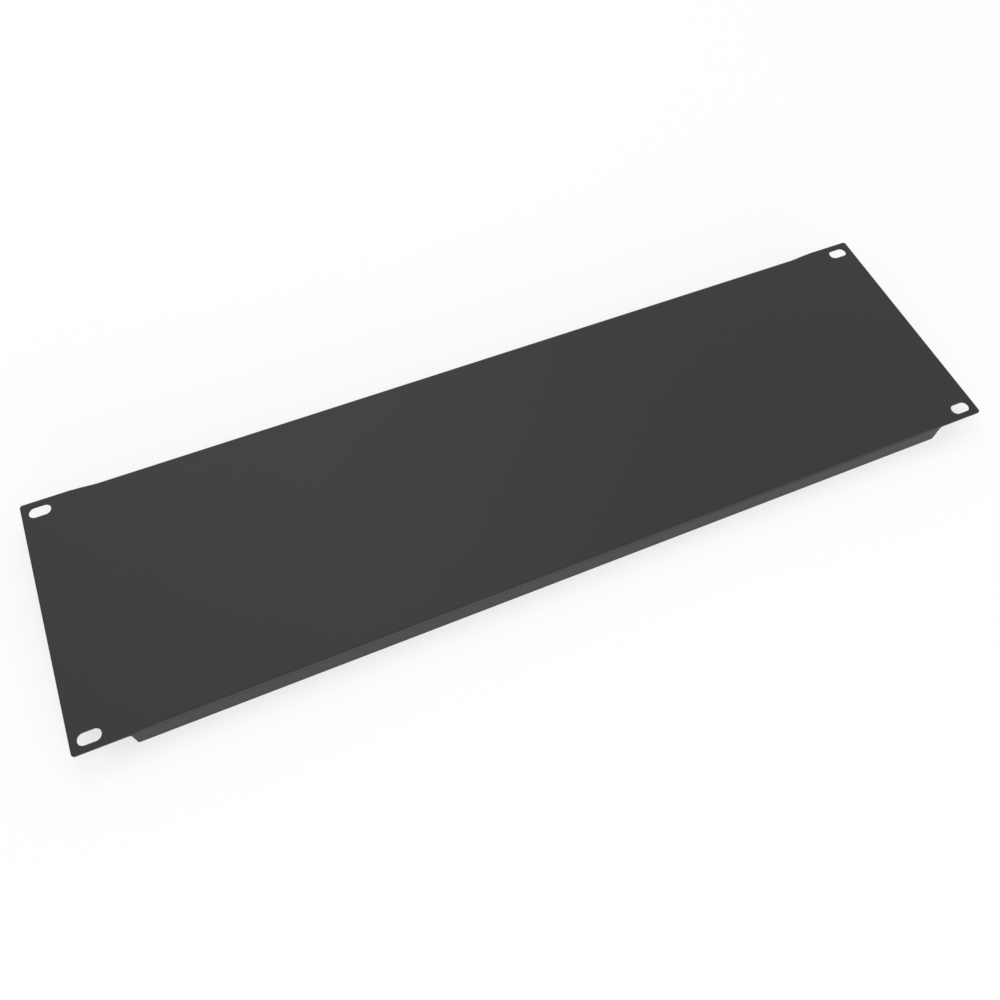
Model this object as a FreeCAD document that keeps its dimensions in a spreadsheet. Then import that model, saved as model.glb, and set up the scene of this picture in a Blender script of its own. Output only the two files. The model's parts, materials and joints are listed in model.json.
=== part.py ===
"""3U blanking panel for a 19 inch rack: one steel sheet, punched, folded and powder coated.

Frame: X across the rack, Y up the rack, +Z out of the front face. The panel lies on the
free edges of its two flanges, and the origin is on that surface, below the middle of the face.
One corner quarter is modelled, and two mirrors make the whole sheet.
"""
import FreeCAD, Part
import math
import os
import Sketcher

NODE = "folded_panel"

# alias, millimetres, what it is
SIZES = [
    ("panel_width", 482.6, "over both ears: the 19 inch front"),
    ("panel_height", 133.0, "three rack units less the gap to the next panel"),
    ("sheet_thickness", 1.2, "steel sheet with its powder coat"),
    ("ear_width", 25.3, "flat ear beyond the end of the folds"),
    ("flange_depth", 12.5, "front face to the free edge of a flange"),
    ("bend_inner_radius", 1.0, "inside of the folds"),
    ("bend_run_out", 14.0, "end stretch of a fold, where its outside tightens"),
    ("bend_end_radius", 0.5, "outside of the fold at its very end, beside the ear"),
    ("flange_corner_radius", 1.0, "free corners of a flange"),
    ("notch_root_radius", 1.2, "where the end of a flange meets its ear"),
    ("ear_corner_radius", 1.5, "four corners of the face"),
    ("slot_margin_across", 8.75, "side of an ear to its slot centres"),
    ("slot_margin_up", 6.175, "top or bottom of an ear to its slot centre"),
    ("slot_length", 10.8, "end to end"),
    ("slot_width", 6.0, "across the slot"),
    ("edge_break", 0.2, "deburred and coated edges of the sheet"),
]

# lengths that follow from the sizes, from the middle of the panel outwards
HALF_WIDTH = "Sizes.panel_width / 2"
HALF_HEIGHT = "Sizes.panel_height / 2"
FOLD_END = "(Sizes.panel_width / 2 - Sizes.ear_width)"
BACK_OF_FACE = "(Sizes.flange_depth - Sizes.sheet_thickness)"
OUTER_RADIUS = "(Sizes.bend_inner_radius + Sizes.sheet_thickness)"

RUN_OUT_STEPS = 3  # a cubic through the four sections at their ends is the S curve itself
SAME_PLACE = 1e-4  # places closer than this are one
SHARP_ANGLE = 20   # degrees between two faces, past which their edge is broken
ORIGIN = (-1, 1)   # a sketch's own origin, as its constraints name it

document = FreeCAD.newDocument("rack_blanking_panel")


def make_sheet():
    sheet = document.addObject("Spreadsheet::Sheet", "Sizes")
    for row, (alias, value, meaning) in enumerate(SIZES, start=1):
        sheet.set(f"A{row}", alias)
        sheet.set(f"B{row}", str(value))
        sheet.setAlias(f"B{row}", alias)
        sheet.set(f"C{row}", meaning)
    document.recompute()
    return sheet


# ---- sketches ----------------------------------------------------------------------------

def new_sketch(body, plane_role, name, offset=None):
    """A sketch on one of the body's own origin planes, moved along that plane's normal."""
    sketch = body.newObject("Sketcher::SketchObject", name)
    plane = next(plane for plane in body.Origin.OriginFeatures if plane.Role == plane_role)
    sketch.AttachmentSupport = [(plane, "")]
    sketch.MapMode = "FlatFace"
    if offset:
        sketch.setExpression("AttachmentOffset.Base.z", offset)
    return sketch


def join(sketch, line, following):
    sketch.addConstraint(Sketcher.Constraint("Coincident", line, 2, following, 1))


def size(sketch, name, kind, expression, *places):
    """A dimension that follows the sheet."""
    value = sketch.evalExpression(expression)
    index = sketch.addConstraint(Sketcher.Constraint(kind, *places, value))
    sketch.renameConstraint(index, name)
    sketch.setExpression(f"Constraints.{name}", expression)


def draw_path(sketch, corners):
    """Level and upright lines from corner to corner."""
    lines = []
    for start, end in zip(corners, corners[1:]):
        segment = Part.LineSegment(FreeCAD.Vector(*start, 0), FreeCAD.Vector(*end, 0))
        line = sketch.addGeometry(segment, False)
        level = abs(start[1] - end[1]) < abs(start[0] - end[0])
        sketch.addConstraint(Sketcher.Constraint("Horizontal" if level else "Vertical", line))
        if lines:
            join(sketch, lines[-1], line)
        lines.append(line)
    return lines


def draw_rectangle(sketch, across, up, rounded, radius):
    """Rectangle from the sketch's origin, with its upper or lower right corner rounded."""
    width = sketch.evalExpression(across)
    height = sketch.evalExpression(up)
    r = sketch.evalExpression(radius)
    corners = [(0, 0), (width, 0), (width, height), (0, height), (0, 0)]
    lower, right, upper, left = draw_path(sketch, corners)
    join(sketch, left, lower)
    sketch.addConstraint(Sketcher.Constraint("Coincident", lower, 1, *ORIGIN))
    if rounded == "upper":
        pair, level, square_end = (right, upper), height, 1
    else:
        pair, level, square_end = (lower, right), 0, 2
    beside = FreeCAD.Vector(width, abs(level - r), 0)
    along = FreeCAD.Vector(width - r, level, 0)
    picks = (beside, along) if rounded == "upper" else (along, beside)
    sketch.fillet(*pair, *picks, r, True, False)
    size(sketch, "corner", "Radius", radius, sketch.GeometryCount - 1)
    size(sketch, "across", "DistanceX", across, *ORIGIN, right, square_end)
    size(sketch, "up", "DistanceY", up, *ORIGIN, upper, 2)


def draw_arc(sketch, centre, radius, start_degrees, end_degrees):
    circle = Part.Circle(FreeCAD.Vector(*centre, 0), FreeCAD.Vector(0, 0, 1), radius)
    arc = Part.ArcOfCircle(circle, math.radians(start_degrees), math.radians(end_degrees))
    return sketch.addGeometry(arc, False)


def draw_corner(sketch, corner, side, radius, backing):
    """What lies between a square corner and the arc below it that rounds it off.

    The arc is to the left of the corner for a side of -1, and to the right for +1. The
    outline backs away from the arc, past both sides of the corner.
    """
    u, v = (sketch.evalExpression(place) for place in corner)
    r = sketch.evalExpression(radius)
    back = sketch.evalExpression(backing)
    path = [(u + side * r, v), (u + side * r, v + back), (u - side * back, v + back),
            (u - side * back, v - r), (u, v - r)]
    inner, upper, outer, lower = draw_path(sketch, path)
    if side < 0:
        arc = draw_arc(sketch, (u - r, v - r), r, 0, 90)
        join(sketch, lower, arc)
        join(sketch, arc, inner)
        size(sketch, "backing_across", "DistanceX", backing, lower, 2, lower, 1)
    else:
        arc = draw_arc(sketch, (u + r, v - r), r, 90, 180)
        sketch.addConstraint(Sketcher.Constraint("Coincident", lower, 2, arc, 2))
        sketch.addConstraint(Sketcher.Constraint("Coincident", inner, 1, arc, 1))
        size(sketch, "backing_across", "DistanceX", backing, lower, 1, lower, 2)
    for line in (inner, lower):
        sketch.addConstraint(Sketcher.Constraint("PointOnObject", arc, 3, line))
    size(sketch, "radius", "Radius", radius, arc)
    size(sketch, "backing_up", "DistanceY", backing, inner, 1, inner, 2)
    size(sketch, "corner_across", "DistanceX", corner[0], *ORIGIN, lower, 2)
    size(sketch, "corner_up", "DistanceY", corner[1], *ORIGIN, inner, 1)


def draw_slot(sketch, across, up, length, width):
    """Slot with round ends. across and up place its centre."""
    centre_u, centre_v = sketch.evalExpression(across), sketch.evalExpression(up)
    r = sketch.evalExpression(width) / 2
    reach = sketch.evalExpression(length) / 2 - r
    right = draw_arc(sketch, (centre_u + reach, centre_v), r, -90, 90)
    left = draw_arc(sketch, (centre_u - reach, centre_v), r, 90, 270)
    upper, = draw_path(sketch, [(centre_u + reach, centre_v + r), (centre_u - reach, centre_v + r)])
    lower, = draw_path(sketch, [(centre_u - reach, centre_v - r), (centre_u + reach, centre_v - r)])
    for start, end in ((right, upper), (upper, left), (left, lower), (lower, right)):
        sketch.addConstraint(Sketcher.Constraint("Tangent", start, 2, end, 1))
    half_reach = f"({length} - {width}) / 2"
    size(sketch, "radius", "Radius", f"{width} / 2", right)
    size(sketch, "left_end", "DistanceX", f"{across} - {half_reach}", *ORIGIN, left, 3)
    size(sketch, "right_end", "DistanceX", f"{across} + {half_reach}", *ORIGIN, right, 3)
    size(sketch, "level", "DistanceY", up, *ORIGIN, right, 3)


# ---- features ----------------------------------------------------------------------------

def extrude(body, kind, name, sketch, length, backwards=False):
    feature = body.newObject(kind, name)
    feature.Profile = sketch
    feature.Reversed = backwards
    feature.setExpression("Length", length)
    document.recompute()
    return feature


def make_face(body):
    """Quarter of the flat face, with the ear's outer corner rounded."""
    sketch = new_sketch(body, "XY_Plane", "face_outline", BACK_OF_FACE)
    draw_rectangle(sketch, HALF_WIDTH, HALF_HEIGHT, "upper", "Sizes.ear_corner_radius")
    extrude(body, "PartDesign::Pad", "face", sketch, "Sizes.sheet_thickness")


def make_flange(body):
    """Half of one flange, upright under the face and flush with the ear's edge."""
    sketch = new_sketch(body, "XZ_Plane", "flange_outline", f"-{HALF_HEIGHT}")
    middle_of_face = "Sizes.flange_depth - Sizes.sheet_thickness / 2"
    draw_rectangle(sketch, FOLD_END, middle_of_face, "lower", "Sizes.flange_corner_radius")
    extrude(body, "PartDesign::Pad", "flange", sketch, "Sizes.sheet_thickness")


def make_notch_root(body):
    """Rounded root of the notch, between the flange's end and the underside of the ear."""
    sketch = new_sketch(body, "XZ_Plane", "notch_root_section", f"-{HALF_HEIGHT}")
    corner = (FOLD_END, BACK_OF_FACE)
    draw_corner(sketch, corner, 1, "Sizes.notch_root_radius", "Sizes.sheet_thickness / 2")
    extrude(body, "PartDesign::Pad", "notch_root", sketch, "Sizes.sheet_thickness")


def make_inside_bend(body):
    sketch = new_sketch(body, "YZ_Plane", "inside_bend_section")
    corner = (f"{HALF_HEIGHT} - Sizes.sheet_thickness", BACK_OF_FACE)
    draw_corner(sketch, corner, -1, "Sizes.bend_inner_radius", "Sizes.sheet_thickness / 2")
    extrude(body, "PartDesign::Pad", "inside_bend", sketch, FOLD_END)


def draw_outside_bend(body, name, radius, offset=None):
    sketch = new_sketch(body, "YZ_Plane", name, offset)
    draw_corner(sketch, (HALF_HEIGHT, "Sizes.flange_depth"), -1, radius, "Sizes.sheet_thickness")
    return sketch


def make_outside_bend(body):
    """Outside of the fold, round all along and tightening in an S curve towards its end.

    The ear beside the end stays flat and holds the sheet up there, so the fold runs out.
    """
    start = f"{FOLD_END} - Sizes.bend_run_out"
    sketch = draw_outside_bend(body, "outside_bend_section", OUTER_RADIUS)
    extrude(body, "PartDesign::Pocket", "outside_bend", sketch, start, True)
    sections = []
    for step in range(RUN_OUT_STEPS + 1):
        share = step / RUN_OUT_STEPS
        tightening = 3 * share ** 2 - 2 * share ** 3
        radius = f"{OUTER_RADIUS} * {1 - tightening} + Sizes.bend_end_radius * {tightening}"
        offset = f"{start} + Sizes.bend_run_out * {share}"
        sections.append(draw_outside_bend(body, f"run_out_section_{step + 1}", radius, offset))
    document.recompute()
    run_out = body.newObject("PartDesign::SubtractiveLoft", "bend_run_out")
    run_out.Profile = sections[0]
    run_out.Sections = sections[1:]
    document.recompute()


def make_slot(body):
    sketch = new_sketch(body, "XY_Plane", "slot_outline", "Sizes.flange_depth")
    draw_slot(sketch, f"{HALF_WIDTH} - Sizes.slot_margin_across",
              f"{HALF_HEIGHT} - Sizes.slot_margin_up", "Sizes.slot_length", "Sizes.slot_width")
    extrude(body, "PartDesign::Pocket", "slot", sketch, "Sizes.sheet_thickness")


def faces_beside(shape, edge):
    return [face for face in shape.Faces if any(edge.isSame(side) for side in face.Edges)]


def is_sharp(shape, edge):
    """Whether the two faces beside an edge meet at an angle, half way along it."""
    middle = edge.valueAt((edge.FirstParameter + edge.LastParameter) / 2)
    normals = []
    for face in faces_beside(shape, edge):
        normals.append(face.normalAt(*face.Surface.parameter(middle)))
    return math.degrees(normals[0].getAngle(normals[1])) > SHARP_ANGLE


def break_edges(body):
    """Breaks every sharp edge, bar those behind the fold and where it meets the ear."""
    sheet_so_far = body.Tip
    cells = document.Sizes
    fold_end = cells.evalExpression(FOLD_END)
    edge_of_face = cells.evalExpression(HALF_HEIGHT)
    behind_fold = FreeCAD.BoundBox(
        0, 0, 0, fold_end + cells.notch_root_radius, edge_of_face - cells.sheet_thickness,
        cells.evalExpression(BACK_OF_FACE))
    beside_ear = FreeCAD.BoundBox(
        fold_end, edge_of_face - cells.bend_end_radius, cells.flange_depth - cells.bend_end_radius,
        fold_end, edge_of_face, cells.flange_depth)
    behind_fold.enlarge(SAME_PLACE)
    beside_ear.enlarge(SAME_PLACE)
    names = []
    for number, edge in enumerate(sheet_so_far.Shape.Edges, start=1):
        box = edge.BoundBox
        on_mirror = box.XMax < SAME_PLACE or box.YMax < SAME_PLACE
        if on_mirror or behind_fold.isInside(box) or beside_ear.isInside(box):
            continue
        if is_sharp(sheet_so_far.Shape, edge):
            names.append(f"Edge{number}")
    chamfer = body.newObject("PartDesign::Chamfer", "broken_edges")
    chamfer.Base = (sheet_so_far, names)
    chamfer.setExpression("Size", "Sizes.edge_break")
    document.recompute()


def mirror_all(body, plane_role, name):
    """Mirrors all that is modelled so far, and joins it to its image."""
    mirror = body.newObject("PartDesign::Mirrored", name)
    mirror.TransformMode = "Whole shape"
    plane = next(plane for plane in body.Origin.OriginFeatures if plane.Role == plane_role)
    mirror.MirrorPlane = (plane, [""])
    body.Tip = mirror
    document.recompute()


def make_panel():
    body = document.addObject("PartDesign::Body", NODE)
    body.Label = NODE
    make_face(body)
    make_flange(body)
    make_notch_root(body)
    make_inside_bend(body)
    make_outside_bend(body)
    make_slot(body)
    break_edges(body)
    mirror_all(body, "YZ_Plane", "both_ears")
    mirror_all(body, "XZ_Plane", "both_flanges")
    return body


def check(body):
    for item in document.Objects:
        if "Invalid" in item.State or "Error" in item.State:
            raise RuntimeError(f"{item.Name} failed: {item.State}")
        if item.TypeId == "Sketcher::SketchObject" and not item.FullyConstrained:
            raise RuntimeError(f"{item.Name} isn't fully constrained")
    shape = body.Shape
    if shape.isNull() or not shape.isValid() or len(shape.Solids) != 1:
        raise RuntimeError(f"{body.Label} isn't one valid solid")


def main():
    make_sheet()
    panel = make_panel()
    check(panel)
    os.makedirs("parts", exist_ok=True)
    panel.Shape.exportStep(f"parts/{panel.Label}.step")
    shape = panel.Shape
    print(f"{panel.Label}: {shape.Volume:.1f} mm3, {len(shape.Faces)} faces, {shape.BoundBox}")


main()
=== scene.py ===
"""Looks of the 3U rack blanking panel: one folded steel sheet in satin near-black powder coat.

Frame: X across the rack, Y up the rack, +Z out of the front face, in metres. The panel lies
on the free edges of its flanges.
"""
import json
import math
import bpy
from mathutils import Matrix, Vector


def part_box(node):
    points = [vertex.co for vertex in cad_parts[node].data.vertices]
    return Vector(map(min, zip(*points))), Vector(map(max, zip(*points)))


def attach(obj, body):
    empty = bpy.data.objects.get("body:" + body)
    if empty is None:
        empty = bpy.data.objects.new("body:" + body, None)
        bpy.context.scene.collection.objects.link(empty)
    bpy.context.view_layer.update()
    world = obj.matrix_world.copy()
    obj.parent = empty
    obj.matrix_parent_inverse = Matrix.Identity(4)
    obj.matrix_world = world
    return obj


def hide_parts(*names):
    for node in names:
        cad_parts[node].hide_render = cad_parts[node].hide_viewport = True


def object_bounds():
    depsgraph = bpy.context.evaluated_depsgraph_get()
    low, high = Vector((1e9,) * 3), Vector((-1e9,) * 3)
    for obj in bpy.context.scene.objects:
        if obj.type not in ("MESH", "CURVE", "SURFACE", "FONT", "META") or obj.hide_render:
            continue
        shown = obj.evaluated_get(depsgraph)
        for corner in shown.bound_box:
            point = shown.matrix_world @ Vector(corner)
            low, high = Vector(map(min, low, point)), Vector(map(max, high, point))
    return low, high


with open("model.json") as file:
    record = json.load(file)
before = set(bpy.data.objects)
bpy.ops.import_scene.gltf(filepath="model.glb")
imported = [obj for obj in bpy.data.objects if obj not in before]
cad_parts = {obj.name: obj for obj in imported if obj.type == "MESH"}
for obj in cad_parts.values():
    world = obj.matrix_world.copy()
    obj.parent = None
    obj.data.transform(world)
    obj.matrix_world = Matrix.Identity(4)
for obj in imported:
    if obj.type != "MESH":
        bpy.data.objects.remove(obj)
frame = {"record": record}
cad_low, cad_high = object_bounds()

MM = 0.001
NODE = "folded_panel"
QUARTER_TURN = math.pi / 2

# forms that the record's mounts don't give
INNER_RADIUS = 1.0 * MM        # inside of the folds
RUN_OUT = 14.0 * MM            # end stretch of a fold, where its outside tightens
END_RADIUS = 0.5 * MM          # outside of the fold beside the ear
FLANGE_CORNER = 1.0 * MM
NOTCH_ROOT = 1.2 * MM
EAR_CORNER = 1.5 * MM
COATED_EDGE = 0.2 * MM         # rounding that the coat gives to the cut edges

# how finely the sheet is made
FOLD_STEPS = 12                # flats round a fold
PLAIN_STEPS = 4                # cross-sections from the middle to where a fold tightens
RUN_OUT_STEPS = 26
CORNER_STEPS = 8               # round a flange corner, a notch root or an ear corner
SLOT_STEPS = 14                # round each corner of a slot's outline
EDGE_STEPS = 3                 # across a rounded edge
PRISM_HEIGHT = 3               # of the prism that cuts a slot, in sheet thicknesses

# from the middle to an ear's tip: plain fold, run-out, flange corner, past the fold's end,
# notch root, flat ear, ear corner
STRETCHES = (PLAIN_STEPS, RUN_OUT_STEPS, CORNER_STEPS, 1, CORNER_STEPS, 1, CORNER_STEPS)

# points of a section, counted up each flange: free edge 0, root level 1, then the fold
FOLD_START = 2
RUN = FOLD_START + FOLD_STEPS + 1
RING = RUN * 4                 # near and far outside, then far and near inside
HALF = 0.5                     # whole numbers are told apart half-way between them

# what counts as sharp, and as the same
SHARP = math.radians(40)       # well over the turn between two flats of a fold
SAME_FLAT = math.radians(0.1)
SAME_PLACE = 0.005 * MM        # points this close become one
SAME_LEVEL = 0.001 * MM        # finer, so that no neighbouring edge is taken for the one meant

# powder coat
DARK_COAT = (0.0070, 0.0070, 0.0071, 1.0)
LIGHT_COAT = (0.0090, 0.0090, 0.0091, 1.0)
CLOUDS = (14.0, 3.0)           # noise per metre and its detail, like the two below
PEEL = (900.0, 2.0)
GRAIN = (3500.0, 1.0)
CLOUDS_IN_COLOUR = 0.7         # the rest of it is grain
PEEL_IN_HEIGHT = 0.6           # the rest of it is grain
ROUGHNESS = 0.51
CLOUDS_IN_ROUGHNESS = 0.04
GRAIN_IN_ROUGHNESS = 0.06
BUMP_STRENGTH = 0.35
BUMP_HEIGHT = 0.02 * MM
COAT_IOR = 1.45
MIX_A, MIX_B, MIX_RESULT = 6, 7, 2      # colour sockets of a Mix node

# camera, looking down on the front face
CAMERA_AZIMUTH = -26.2         # degrees round from the -Y side towards +X
CAMERA_ELEVATION = 60.68
CAMERA_ROLL = 3.56
CAMERA_DISTANCE = 473.2 * MM
CAMERA_AIM = (-20.8 * MM, -19.2 * MM)
CAMERA_NEAREST = 0.01
CAMERA_FARTHEST = 50.0
LENS = 33.93
SENSOR = 36.0

# studio
SOFTBOX_DISTANCE = 1.3
FILL = 0.8                     # strength of the even light from all round
WHITE = 1.0                    # strength that shows as plain white
WHITE_COLOUR = (1.0, 1.0, 1.0, 1.0)
FLOOR_HALF = 4.0
FLOOR_GAP = 0.05 * MM          # keeps the floor just below the flanges' free edges
FLOOR_PAINT = 0.95
FLOOR_GLOW = 0.65              # share of plain white in the floor near the panel
SHADOW_REACH = 0.3             # from here on the floor turns to plain white, with no horizon
FADE = 0.6                     # length over which it turns


# ---- sums in a node tree --------------------------------------------------------------------

class Number:
    """A number as it runs through a node tree, so that a tree can be written as sums."""

    def __init__(self, tree, socket):
        self.tree = tree
        self.socket = socket

    def sum(self, operation, *others):
        node = self.tree.nodes.new("ShaderNodeMath")
        node.operation = operation
        for number, value in enumerate((self, *others)):
            feed(self.tree, node.inputs[number], value)
        return Number(self.tree, node.outputs[0])

    def __add__(self, other):
        return self.sum("ADD", other)

    def __sub__(self, other):
        return self.sum("SUBTRACT", other)

    def __mul__(self, other):
        return self.sum("MULTIPLY", other)

    def __truediv__(self, other):
        return self.sum("DIVIDE", other)

    def __lt__(self, other):
        return self.sum("LESS_THAN", other)

    def __gt__(self, other):
        return self.sum("GREATER_THAN", other)

    def but(self, switch, other):
        """This number, or the other one where the switch is 1."""
        return self + (other - self) * switch

    def held(self):
        """This number, held between 0 and 1."""
        return self.sum("MAXIMUM", 0.0).sum("MINIMUM", 1.0)


def one_less(number):
    """1 minus the number."""
    return number * -1.0 + 1.0


def passed(station, before, steps):
    """How much of a stretch of stations is behind this one, from 0 to 1."""
    return ((station - before) / steps).held()


def s_curve(share):
    """A share from 0 to 1 that starts and ends gently."""
    return share * share * (share * -2.0 + 3.0)


def feed(tree, socket, value):
    """Link a socket to what it follows, or set it to a plain value."""
    if isinstance(value, Number):
        tree.links.new(value.socket, socket)
    elif isinstance(value, bpy.types.NodeSocket):
        tree.links.new(value, socket)
    else:
        socket.default_value = value


def add_node(tree, kind, inputs=None, **settings):
    node = tree.nodes.new(kind)
    for name, value in settings.items():
        setattr(node, name, value)
    for name, value in (inputs or {}).items():
        feed(tree, node.inputs[name], value)
    return node


def place(tree, x, y, z):
    """Three numbers as one place."""
    return add_node(tree, "ShaderNodeCombineXYZ", {"X": x, "Y": y, "Z": z}).outputs[0]


# ---- objects --------------------------------------------------------------------------------

def add_object(name, data):
    thing = bpy.data.objects.new(name, data)
    bpy.context.scene.collection.objects.link(thing)
    return thing


def add_modifier(thing, name, kind, **settings):
    modifier = thing.modifiers.new(name, kind)
    for setting, value in settings.items():
        setattr(modifier, setting, value)
    return modifier


# ---- sizes ----------------------------------------------------------------------------------

def read_sizes():
    """The tree's named sizes, from the CAD node's box and the record's mounts."""
    low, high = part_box(NODE)
    mounts = {mount["name"]: mount for mount in frame["record"]["mounts"]}
    slots = mounts["rack_slots"]["dims"]
    seat = mounts["right_rail_seat"]["pos_m"]
    return {
        "Width": high.x - low.x,
        "Height": high.y - low.y,
        "Depth": high.z - low.z,
        "Thickness": high.z - seat[2],
        "Ear Width": high.x * 2 - seat[0] * 2,
        "Inner Radius": INNER_RADIUS,
        "Run Out": RUN_OUT,
        "End Radius": END_RADIUS,
        "Flange Corner": FLANGE_CORNER,
        "Notch Root": NOTCH_ROOT,
        "Ear Corner": EAR_CORNER,
        "Slot Pitch Across": slots["spacing_x_mm"] * MM,
        "Slot Pitch Up": slots["spacing_y_mm"] * MM,
        "Slot Length": slots["slot_length_mm"] * MM,
        "Slot Width": slots["hole_r_mm"] * 2 * MM,
    }


# ---- the sheet ------------------------------------------------------------------------------

class SheetTree:
    """Geometry Nodes that make the whole sheet from its named sizes."""

    def __init__(self, sizes, coat):
        self.tree = bpy.data.node_groups.new("folded_sheet_rule", "GeometryNodeTree")
        self.sockets = {}
        face = self.tree.interface
        face.new_socket("Geometry", in_out="OUTPUT", socket_type="NodeSocketGeometry")
        for name in sizes:
            socket = face.new_socket(name, in_out="INPUT", socket_type="NodeSocketFloat")
            self.sockets[name] = socket.identifier
        self.given = self.tree.nodes.new("NodeGroupInput")
        self.half_width = self.size("Width") / 2
        self.half_height = self.size("Height") / 2
        self.fold_end = self.half_width - self.size("Ear Width")
        self.back = self.size("Depth") - self.size("Thickness")
        self.put_together(coat)

    def size(self, name):
        return Number(self.tree, self.given.outputs[name])

    def node(self, kind, inputs=None, **settings):
        return add_node(self.tree, kind, inputs, **settings)

    def move(self, shape, x, y, z):
        inputs = {"Geometry": shape, "Translation": place(self.tree, x, y, z)}
        return self.node("GeometryNodeTransform", inputs).outputs[0]

    def join(self, *shapes):
        node = self.node("GeometryNodeJoinGeometry")
        for shape in shapes:
            self.tree.links.new(shape, node.inputs[0])
        return node.outputs[0]

    def merged(self, shape):
        node = self.node("GeometryNodeMergeByDistance",
                         {"Geometry": shape, "Distance": SAME_PLACE})
        return node.outputs[0]

    def section(self):
        """The sheet without its slots: one closed section, run along X from tip to tip.

        Each section goes up the near flange, over the face and down the far flange, then
        back along the inside. Past a fold's end the flange gives way to the flat ear.
        """
        outmost = sum(STRETCHES)
        tube = self.node("GeometryNodeMeshCylinder",
                         {"Vertices": RING, "Side Segments": outmost * 2}, fill_type="NGON")
        index = Number(self.tree, self.node("GeometryNodeInputIndex").outputs[0])
        station = (index / RING).sum("FLOOR")
        step = index - station * RING
        side = (station - outmost).sum("SIGN")
        x, levels = self.way_out((station - outmost).sum("ABSOLUTE"))
        y, z = self.way_round(step, x, levels)
        moved = self.node("GeometryNodeSetPosition",
                          {"Geometry": tube.outputs["Mesh"],
                           "Position": place(self.tree, x * side, y, z)})
        return self.merged(moved.outputs[0])

    def way_out(self, outwards):
        """X from the middle to an ear's tip, and the levels that change on the way."""
        shares = []
        before = 0
        for steps in STRETCHES:
            shares.append(passed(outwards, before, steps))
            before += steps
        plain, run_out, corner, past_end, root, flat, tip = shares
        corner, root, tip = (share * QUARTER_TURN for share in (corner, root, tip))

        corner_size, root_size = self.size("Flange Corner"), self.size("Notch Root")
        tip_size, run_size = self.size("Ear Corner"), self.size("Run Out")
        x = plain * (self.fold_end - run_size) + run_out * (run_size - corner_size)
        x = x + corner.sum("SINE") * corner_size + one_less(root.sum("COSINE")) * root_size
        x = x + flat * (self.size("Ear Width") - root_size - tip_size) + tip.sum("SINE") * tip_size

        lift = one_less(corner.sum("COSINE")) * corner_size
        stub = one_less(root.sum("SINE"))
        root_level = self.back - root_size * stub
        return x, {
            "past_end": past_end,
            "stub": stub,
            "half_height": self.half_height - one_less(tip.sum("COSINE")) * tip_size,
            "root": root_level,
            "free_edge": lift.but(past_end, root_level),
        }

    def way_round(self, step, x, levels):
        """Y and Z round the section: free edge, root level, then round the fold to the face."""
        inside = step > (RUN * 2 - HALF)
        far = (step > (RUN - HALF)) * (step < (RUN * 3 - HALF))
        number = (step + HALF).sum("PINGPONG", float(RUN)) - HALF
        turned = ((number - FOLD_START) / FOLD_STEPS).sum("MAXIMUM", 0.0)
        angle = one_less(turned) * QUARTER_TURN
        between = (number > FOLD_START + HALF) * (number < FOLD_START + FOLD_STEPS - HALF)
        radius = self.fold_radius(x, inside) * one_less(levels["past_end"] * between)
        inset = self.size("Thickness") * inside

        y = levels["half_height"] - inset - radius * one_less(angle.sum("SINE"))
        drop = one_less(one_less(levels["stub"]) * inside)
        z = self.size("Depth") - inset - radius * one_less(angle.sum("COSINE")) * drop
        z = z.but(number < FOLD_START - HALF, levels["root"])
        z = z.but(number < HALF, levels["free_edge"])
        return y * (far * 2.0 - 1.0), z

    def fold_radius(self, x, inside):
        """Radius of the fold. Its outside tightens in an S curve over the run-out."""
        gap = (self.fold_end - x).sum("MAXIMUM", 0.0)
        ease = s_curve((gap / self.size("Run Out")).sum("MINIMUM", 1.0))
        full = self.size("Inner Radius") + self.size("Thickness")
        outer = self.size("End Radius") + (full - self.size("End Radius")) * ease
        return outer.but(inside, self.size("Inner Radius"))

    def slot_prism(self):
        """A prism as long and as wide as a slot, from level 0 up."""
        width = self.size("Slot Width")
        outline = self.node("GeometryNodeCurvePrimitiveQuadrilateral",
                            {"Width": self.size("Slot Length"), "Height": width})
        outline = self.node("GeometryNodeFilletCurve",
                            {"Curve": outline.outputs[0], "Count": SLOT_STEPS,
                             "Radius": width / 2, "Limit Radius": True}, mode="POLY")
        filled = self.node("GeometryNodeFillCurve", {"Curve": outline.outputs[0]},
                           mode="NGONS").outputs[0]
        upwards = place(self.tree, 0.0, 0.0, self.size("Thickness") * PRISM_HEIGHT)
        raised = self.node("GeometryNodeExtrudeMesh",
                           {"Mesh": filled, "Offset": upwards, "Individual": False})
        under = self.node("GeometryNodeFlipFaces", {"Mesh": filled}).outputs[0]
        return self.merged(self.join(raised.outputs["Mesh"], under))

    def slots(self):
        """Four prisms that pass right through the ears."""
        prism = self.slot_prism()
        prisms = []
        for across in (-0.5, 0.5):      # half a pitch to each side
            for up in (-0.5, 0.5):
                prisms.append(self.move(prism, self.size("Slot Pitch Across") * across,
                                        self.size("Slot Pitch Up") * up,
                                        self.back - self.size("Thickness")))
        return self.join(*prisms)

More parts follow.
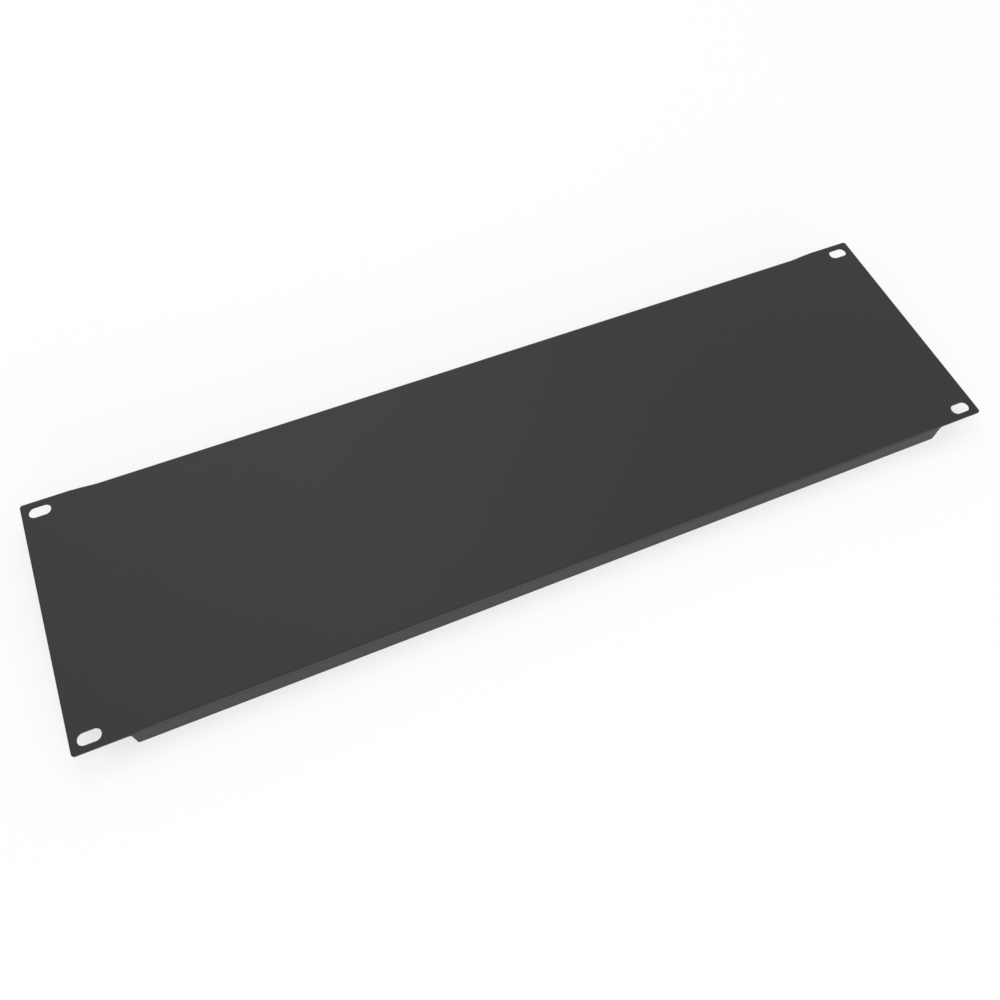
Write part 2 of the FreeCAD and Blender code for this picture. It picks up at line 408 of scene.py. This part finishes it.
    def mark_edges(self, sheet):
        """Cut edges that the coat rounds, and the sharp ones that it leaves.

        It leaves the hidden inner edges of the flanges and the step beside each fold's end.
        """
        angle = self.node("GeometryNodeInputMeshEdgeAngle").outputs
        folded = Number(self.tree, angle["Unsigned Angle"]) > SHARP
        outward = Number(self.tree, angle["Signed Angle"]) > SHARP
        position = self.node("GeometryNodeInputPosition").outputs[0]
        x, y, z = (Number(self.tree, part) for part in
                   self.node("ShaderNodeSeparateXYZ", {"Vector": position}).outputs)
        inner = (z < self.back - SAME_LEVEL) * (
            y.sum("ABSOLUTE") < self.half_height - self.size("Thickness") / 2)
        beside = (z > self.back) * (
            (x.sum("ABSOLUTE") - self.fold_end).sum("ABSOLUTE") < SAME_LEVEL)
        coated = outward * one_less(inner) * one_less(beside)
        sheet = self.store(sheet, "bevel_weight_edge", coated, "FLOAT")
        return self.store(sheet, "sharp_edge", folded * one_less(coated), "BOOLEAN")

    def store(self, shape, name, value, kind):
        node = self.node("GeometryNodeStoreNamedAttribute",
                         {"Geometry": shape, "Name": name, "Value": value},
                         data_type=kind, domain="EDGE")
        return node.outputs[0]

    def put_together(self, coat):
        """The section less the slots, with its edges marked and its coat on."""
        cut = self.node("GeometryNodeMeshBoolean", operation="DIFFERENCE", solver="EXACT")
        self.tree.links.new(self.section(), cut.inputs["Mesh 1"])
        self.tree.links.new(self.slots(), cut.inputs["Mesh 2"])
        whole = self.merged(cut.outputs["Mesh"])
        smooth = self.node("GeometryNodeSetShadeSmooth", {"Geometry": whole})
        marked = self.mark_edges(smooth.outputs[0])
        real = self.node("GeometryNodeRealizeInstances", {"Geometry": marked})
        coated = self.node("GeometryNodeSetMaterial",
                           {"Geometry": real.outputs[0], "Material": coat})
        out = self.tree.nodes.new("NodeGroupOutput")
        self.tree.links.new(coated.outputs[0], out.inputs[0])


def draft_sheet(coat):
    """The sheet as an object whose modifiers make it and round its coated edges."""
    sizes = read_sizes()
    rule = SheetTree(sizes, coat)
    draft = add_object("sheet_draft", bpy.data.meshes.new("sheet_draft"))
    made = add_modifier(draft, "rule", "NODES", node_group=rule.tree)
    for name, value in sizes.items():
        made[rule.sockets[name]] = value
    add_modifier(draft, "whole_flats", "DECIMATE", decimate_type="DISSOLVE",
                 angle_limit=SAME_FLAT)
    add_modifier(draft, "coated_edges", "BEVEL", limit_method="WEIGHT", width=COATED_EDGE,
                 segments=EDGE_STEPS, use_clamp_overlap=False, loop_slide=False)
    add_modifier(draft, "no_doubles", "WELD", merge_threshold=SAME_PLACE)
    add_modifier(draft, "flats_stay_flat", "WEIGHTED_NORMAL", keep_sharp=True)
    return draft


def make_sheet(coat):
    """The sheet as a plain mesh, with the coat as its only material."""
    draft = draft_sheet(coat)
    evaluated = draft.evaluated_get(bpy.context.evaluated_depsgraph_get())
    mesh = bpy.data.meshes.new_from_object(evaluated)
    bpy.data.objects.remove(draft)
    mesh.name = "coated_sheet"
    for slot in reversed(range(len(mesh.materials))):
        if mesh.materials[slot] is None:
            mesh.materials.pop(index=slot)
    return add_object("coated_sheet", mesh)


# ---- finishes -------------------------------------------------------------------------------

def new_material(name):
    """An empty material, with its node tree and its output."""
    material = bpy.data.materials.new(name)
    material.use_nodes = True
    tree = material.node_tree
    tree.nodes.clear()
    out = tree.nodes.new("ShaderNodeOutputMaterial")
    return material, tree, out


def own_place(tree):
    """Where a point lies on its own object."""
    return tree.nodes.new("ShaderNodeTexCoord").outputs["Object"]


def noise(tree, where, per_metre, detail):
    """Noise from 0 to 1."""
    node = add_node(tree, "ShaderNodeTexNoise",
                    {"Vector": where, "Scale": per_metre, "Detail": detail})
    return Number(tree, node.outputs[0])


def mix_shaders(tree, share, first, second):
    """The first shader, with a share of the second one."""
    node = add_node(tree, "ShaderNodeMixShader",
                    {0: share, 1: first.outputs[0], 2: second.outputs[0]})
    return node.outputs[0]


def make_powder_coat():
    """Satin powder coat: faint clouding, a fine orange peel and a finer grain."""
    material, tree, out = new_material("satin_powder_coat")
    where = own_place(tree)
    cloud = noise(tree, where, *CLOUDS)
    peel = noise(tree, where, *PEEL)
    grain = noise(tree, where, *GRAIN)

    shade = cloud * CLOUDS_IN_COLOUR + grain * (1.0 - CLOUDS_IN_COLOUR)
    colour = add_node(tree, "ShaderNodeMix", {"Factor": shade}, data_type="RGBA")
    colour.inputs[MIX_A].default_value = DARK_COAT
    colour.inputs[MIX_B].default_value = LIGHT_COAT
    roughness = cloud * CLOUDS_IN_ROUGHNESS + grain * GRAIN_IN_ROUGHNESS + ROUGHNESS
    height = peel * PEEL_IN_HEIGHT + grain * (1.0 - PEEL_IN_HEIGHT)
    bump = add_node(tree, "ShaderNodeBump", {"Strength": BUMP_STRENGTH, "Distance": BUMP_HEIGHT,
                                             "Height": height})
    coat = add_node(tree, "ShaderNodeBsdfPrincipled",
                    {"Base Color": colour.outputs[MIX_RESULT], "Roughness": roughness,
                     "Normal": bump.outputs[0]})
    coat.inputs["IOR"].default_value = COAT_IOR
    tree.links.new(coat.outputs[0], out.inputs[0])
    return material


def seen_ray(tree):
    """1 for a ray that sees the background: direct, in a reflection or through glass."""
    path = tree.nodes.new("ShaderNodeLightPath")
    camera = Number(tree, path.outputs["Is Camera Ray"])
    return camera.sum("MAXIMUM", path.outputs["Is Glossy Ray"]).sum(
        "MAXIMUM", path.outputs["Is Transmission Ray"])


# ---- studio ---------------------------------------------------------------------------------

def make_floor_paint():
    """Pale paint that shows as white, and the more so the farther it is from the panel."""
    material, tree, out = new_material("pale_floor")
    paint = add_node(tree, "ShaderNodeBsdfDiffuse",
                     {"Color": (FLOOR_PAINT, FLOOR_PAINT, FLOOR_PAINT, 1.0)})
    glow = add_node(tree, "ShaderNodeEmission", {"Strength": WHITE})
    length = add_node(tree, "ShaderNodeVectorMath", {0: own_place(tree)}, operation="LENGTH")
    away = ((Number(tree, length.outputs["Value"]) - SHADOW_REACH) / FADE).held()
    share = seen_ray(tree) * (away * (1.0 - FLOOR_GLOW) + FLOOR_GLOW)
    tree.links.new(mix_shaders(tree, share, paint, glow), out.inputs[0])
    return material


def make_floor():
    """Plain floor just below the panel, which keeps its soft shadow."""
    level = cad_low.z - FLOOR_GAP
    corners = [(x * FLOOR_HALF, y * FLOOR_HALF, level)
               for x, y in ((-1, -1), (1, -1), (1, 1), (-1, 1))]
    mesh = bpy.data.meshes.new("floor")
    mesh.from_pydata(corners, [], [(0, 1, 2, 3)])
    mesh.materials.append(make_floor_paint())
    add_object("floor", mesh)


def make_world():
    """Even fill light, with plain white as the background that is seen."""
    world = bpy.data.worlds.new("studio")
    bpy.context.scene.world = world
    world.use_nodes = True
    tree = world.node_tree
    tree.nodes.clear()
    out = tree.nodes.new("ShaderNodeOutputWorld")
    fill, white = (add_node(tree, "ShaderNodeBackground",
                            {"Color": WHITE_COLOUR, "Strength": strength})
                   for strength in (FILL, WHITE))
    tree.links.new(mix_shaders(tree, seen_ray(tree), fill, white), out.inputs[0])


def make_softbox(name, turn, height, width, depth, watts):
    """Softbox that faces the panel, at degrees round from +X and degrees up."""
    light = bpy.data.lights.new(name, "AREA")
    light.shape = "RECTANGLE"
    light.size, light.size_y = width, depth
    light.energy = watts
    turn, height = math.radians(turn), math.radians(height)
    towards = Vector((math.cos(turn) * math.cos(height), math.sin(turn) * math.cos(height),
                      math.sin(height)))
    lamp = add_object(name, light)
    lamp.location = towards * SOFTBOX_DISTANCE
    lamp.rotation_euler = (-towards).to_track_quat("-Z", "Y").to_euler()


def make_camera():
    data = bpy.data.cameras.new("camera")
    data.lens = LENS
    data.sensor_width = SENSOR
    data.clip_start = CAMERA_NEAREST
    data.clip_end = CAMERA_FARTHEST
    azimuth, elevation = math.radians(CAMERA_AZIMUTH), math.radians(CAMERA_ELEVATION)
    back = Vector((math.sin(azimuth) * math.cos(elevation),
                   -math.cos(azimuth) * math.cos(elevation), math.sin(elevation)))
    aim = Vector((*CAMERA_AIM, cad_high.z))
    level = (-back).to_track_quat("-Z", "Y").to_matrix().to_4x4()
    roll = Matrix.Rotation(math.radians(CAMERA_ROLL), 4, "Z")
    camera = add_object("camera", data)
    camera.matrix_world = Matrix.Translation(aim + back * CAMERA_DISTANCE) @ level @ roll
    bpy.context.scene.camera = camera


# ---- scene ----------------------------------------------------------------------------------

make_camera()
make_world()
make_floor()
make_softbox("high_softbox_behind", turn=95.0, height=62.0, width=0.8, depth=0.8, watts=3.6)
make_softbox("low_softbox_in_front", turn=-90.0, height=8.0, width=1.4, depth=0.34, watts=12.0)

sheet = make_sheet(make_powder_coat())
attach(sheet, "root")
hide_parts(NODE)

scene = bpy.context.scene
scene.view_settings.view_transform = "Standard"
